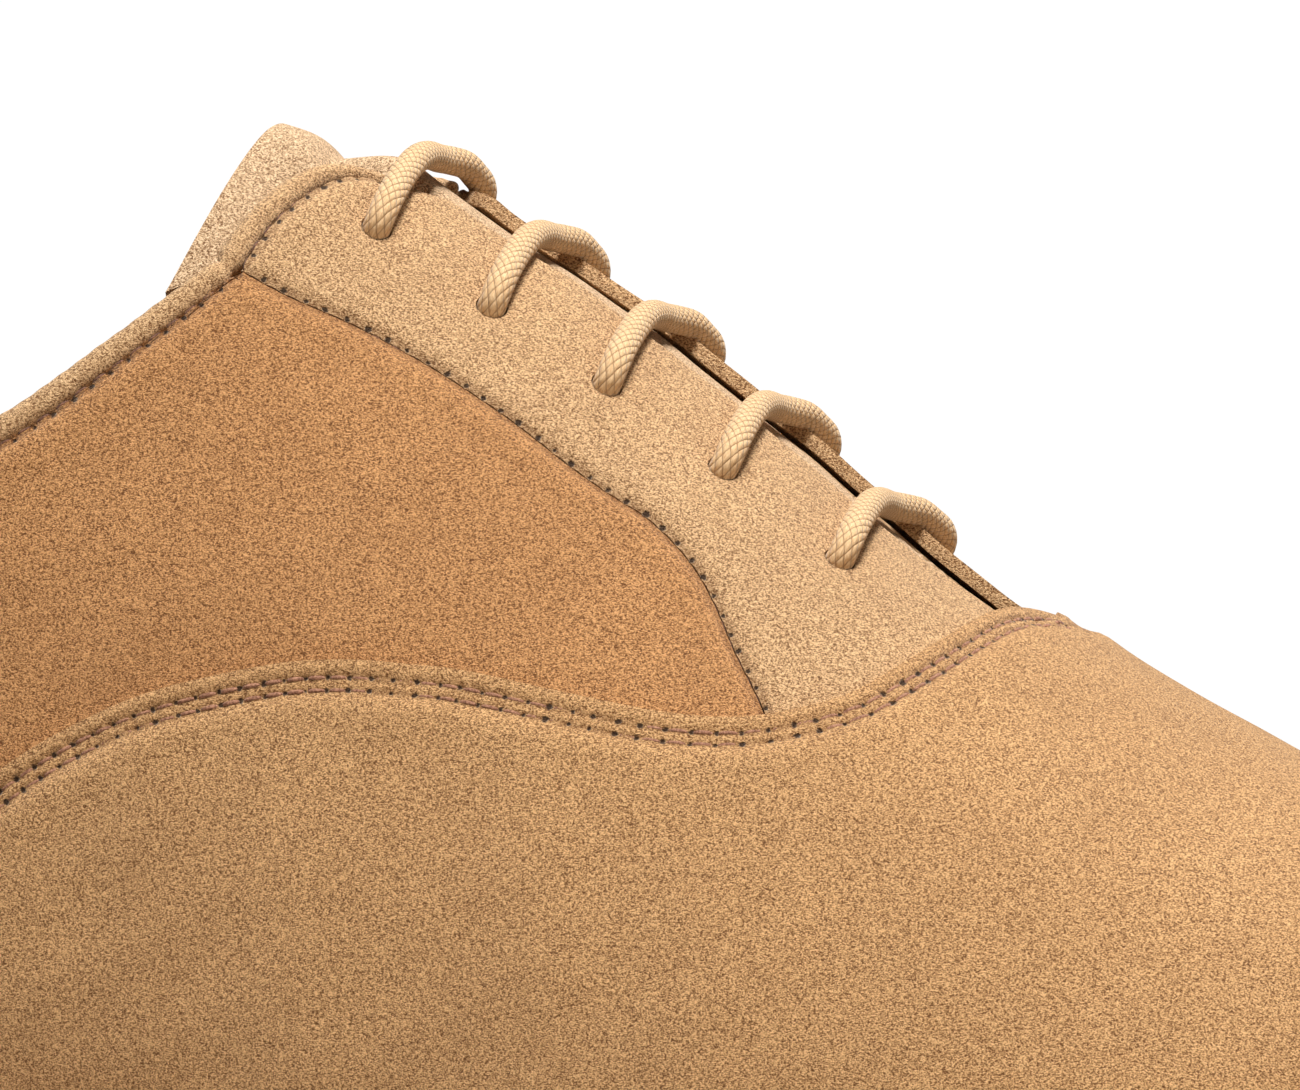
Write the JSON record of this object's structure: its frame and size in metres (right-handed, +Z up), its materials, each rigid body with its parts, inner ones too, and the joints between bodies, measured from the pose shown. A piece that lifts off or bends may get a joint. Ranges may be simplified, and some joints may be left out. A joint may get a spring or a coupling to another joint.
{
  "type": "lace-up oxford shoe",
  "caption": "Right-foot suede cap-toe oxford with straight-laced facings, hinged tongue, leather lining, welted leather sole and stacked heel.",
  "frame": {"origin": "middle of the overall outline, on the plane the shoe stands on", "axes": "+X heel to toe, +Z up, -Y the outer side of a right foot"},
  "size_m": [0.2985, 0.0976, 0.1108],
  "materials": {
    "suede": "napped",
    "suede_edge": "napped, rolled",
    "lining_leather": "smooth matt",
    "canvas": "plain weave",
    "fibre_board": "pressed fibre",
    "sole_leather": "burnished",
    "cork": "granular",
    "spring_steel": "plain",
    "brass": "dull",
    "rubber": "matt",
    "cotton_lace": "round braid",
    "lace_tip": "clear over lace"
  },
  "bodies": {
    "shoe": {"lateral_quarter": "suede", "lateral_facing": "suede", "lateral_quarter_lining": "lining_leather", "eyelet_lateral_1": "brass", "eyelet_lateral_2": "brass", "eyelet_lateral_3": "brass", "eyelet_lateral_4": "brass", "eyelet_lateral_5": "brass", "medial_quarter": "suede", "medial_facing": "suede", "medial_quarter_lining": "lining_leather", "eyelet_medial_1": "brass", "eyelet_medial_2": "brass", "eyelet_medial_3": "brass", "eyelet_medial_4": "brass", "eyelet_medial_5": "brass", "vamp": "suede", "toe_cap": "suede", "toe_puff": "fibre_board", "vamp_doubler": "canvas", "vamp_lining": "lining_leather", "heel_counter": "fibre_board", "back_strip": "suede", "rolled_edge": "suede_edge", "welt": "sole_leather", "insole": "fibre_board", "sock_liner": "lining_leather", "cork_filler": "cork", "shank": "spring_steel", "outsole": "sole_leather", "heel_lift_1": "sole_leather", "heel_lift_2": "sole_leather", "heel_lift_3": "sole_leather", "heel_top_piece": "rubber", "heel_nail_1": "spring_steel", "heel_nail_2": "spring_steel", "heel_nail_3": "spring_steel", "heel_nail_4": "spring_steel", "heel_nail_5": "spring_steel", "lace_threaded": "cotton_lace", "lace_end_lateral": "cotton_lace", "aglet_lateral": "lace_tip", "lace_end_medial": "cotton_lace", "aglet_medial": "lace_tip"},
    "tongue": {"tongue": "suede", "tongue_lining": "lining_leather"}
  },
  "joints": [
    {"name": "tongue_hinge", "type": "hinge", "parent": "shoe", "child": "tongue", "pos_m": [0.0488, 0.001, 0.0562], "axis": [0, -1, 0], "range_deg": [0, 12], "stiffness_Nm_per_rad": 0.15, "springref_deg": -5.73}
  ]
}
